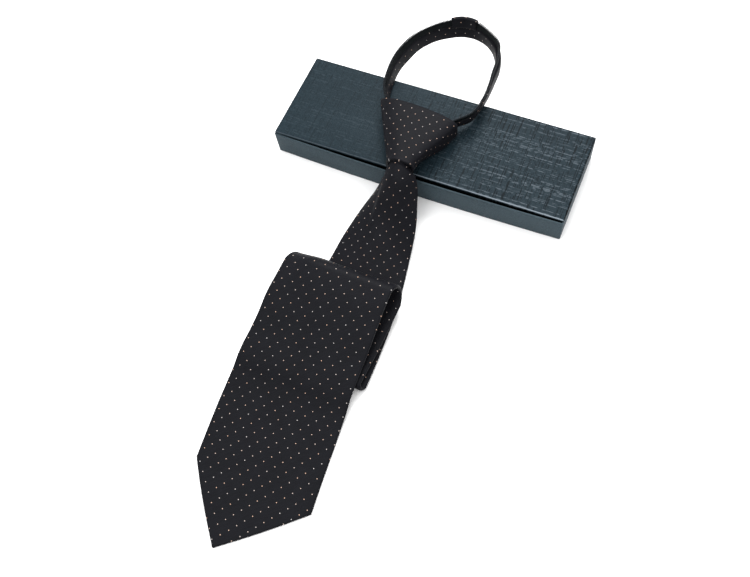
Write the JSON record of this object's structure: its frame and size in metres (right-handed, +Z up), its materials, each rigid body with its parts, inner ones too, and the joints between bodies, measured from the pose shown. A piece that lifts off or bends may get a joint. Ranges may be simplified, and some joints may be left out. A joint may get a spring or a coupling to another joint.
{
  "type": "zipper tie on a gift box",
  "caption": "Ready-knotted tie with a zip neck loop, pin-dot cloth and a blade folded twice, its knot resting on a closed flat gift box.",
  "frame": {"origin": "middle of the gift box's underside, on the surface that box and blade rest on", "axes": "+X along the box to its right end, +Y to the box's back and the neck loop, +Z up; the blade runs towards -Y"},
  "size_m": [0.235, 0.4434, 0.0453],
  "materials": {
    "dotted_cloth": "fine twill woven with small pale pin dots, charcoal, soft sheen",
    "zip_tape": "plain black woven tape, matt",
    "zip_nylon": "black nylon coil",
    "linen_card": null
  },
  "bodies": {
    "root": {"box_tray": "linen_card", "box_lid": "linen_card", "knot": "dotted_cloth", "front_blade": "dotted_cloth", "tail": "dotted_cloth", "neck_band": "dotted_cloth", "back_tab": "dotted_cloth", "zip_tape_left": "zip_tape", "zip_tape_right": "zip_tape", "zip_teeth_left": "zip_nylon", "zip_teeth_right": "zip_nylon"}
  },
  "joints": []
}
